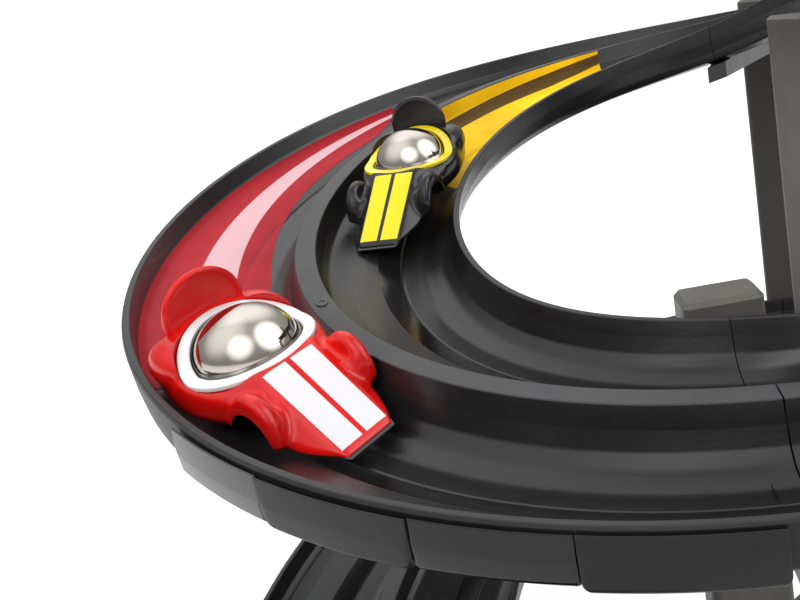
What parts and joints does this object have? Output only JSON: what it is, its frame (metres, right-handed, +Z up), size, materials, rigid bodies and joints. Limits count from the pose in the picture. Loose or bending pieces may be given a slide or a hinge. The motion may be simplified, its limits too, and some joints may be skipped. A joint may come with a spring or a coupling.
{
  "type": "car ramp toy",
  "caption": "Two-lane spiral ramp with a lifting start gate and a level run-out, and two small ball-driven toy cars that roll down its lanes.",
  "frame": {"origin": "centre of the footprint, on the floor", "axes": "+Z up; +Y the way the cars roll along the start deck; +X from the spiral's axis towards the start deck"},
  "size_m": [0.3664, 0.371, 0.315],
  "materials": {
    "track": "satin moulded black",
    "trim": "satin dark grey",
    "column": "fine matte grain",
    "chassis": "satin",
    "red_trail": "printed film",
    "yellow_trail": "printed film",
    "gate": "satin",
    "polished_ball": "polished",
    "red_paint": "gloss",
    "black_paint": "gloss",
    "white_ring": "gloss",
    "yellow_ring": "gloss"
  },
  "bodies": {
    "track": {"finish_foot_1": "chassis", "finish_foot_2": "chassis", "finish_foot_3": "chassis", "finish_foot_4": "chassis", "finish_run": "track", "finish_stop": "trim", "front_column": "column", "front_column_foot": "column", "front_mast": "column", "front_mast_foot": "column", "front_mast_saddle": "column", "front_saddle": "column", "gate_post_inner": "trim", "gate_post_outer": "trim", "lower_leg": "column", "rear_column": "column", "rear_column_foot": "column", "rear_saddle_lower": "column", "rear_saddle_upper": "column", "red_trail_decal": "red_trail", "right_mast": "column", "right_mast_foot": "column", "right_mast_saddle_lower": "column", "right_mast_saddle_upper": "column", "side_panel_1": "trim", "side_panel_2": "trim", "side_panel_3": "trim", "side_panel_4": "trim", "start_back_wall": "trim", "start_deck": "track", "start_shelf": "column", "track_lower": "track", "track_middle": "track", "track_upper": "track", "yellow_trail_decal": "yellow_trail"},
    "start_gate": {"start_gate": "gate"},
    "red_car": {"red_car_ball_cage": "chassis", "red_car_body": "red_paint", "red_car_canopy_ring": "white_ring", "red_car_chassis": "chassis", "red_car_spoiler": "red_paint"},
    "red_ball": {"red_car_ball": "polished_ball"},
    "black_car": {"black_car_ball_cage": "chassis", "black_car_body": "black_paint", "black_car_canopy_ring": "yellow_ring", "black_car_chassis": "chassis", "black_car_spoiler": "black_paint"},
    "black_ball": {"black_car_ball": "polished_ball"}
  },
  "joints": [
    {"name": "start_gate_lift", "type": "hinge", "parent": "track", "child": "start_gate", "pos_m": [0, -0.00635, 0.30699], "axis": [1, 0, 0], "range_deg": [0, 80]},
    {"name": "red_car_travel", "type": "hinge", "parent": "track", "child": "red_car", "pos_m": [-0.00321, 0.00446, 0.21272], "axis": [-0.0939, -0.193, 0.9767], "range_deg": [-4, 20]},
    {"name": "red_ball_spin", "type": "hinge", "parent": "red_car", "child": "red_ball", "pos_m": [-0.1538, -0.03161, 0.19111], "axis": [0.8669, 0.4545, 0.2047], "range_deg": [-60, 250]},
    {"name": "black_car_travel", "type": "hinge", "parent": "track", "child": "black_car", "pos_m": [0.00376, 0.00187, 0.21557], "axis": [-0.1687, -0.2612, 0.9504], "range_deg": [-4, 20]},
    {"name": "black_ball_spin", "type": "hinge", "parent": "black_car", "child": "black_ball", "pos_m": [-0.08498, 0.06975, 0.21848], "axis": [0.818, -0.5742, 0.0335], "range_deg": [-60, 250]}
  ],
  "couplings": [
    {"joint": "red_ball_spin", "follows": "red_car_travel", "ratio": 11.668},
    {"joint": "black_ball_spin", "follows": "black_car_travel", "ratio": 8.3404}
  ]
}
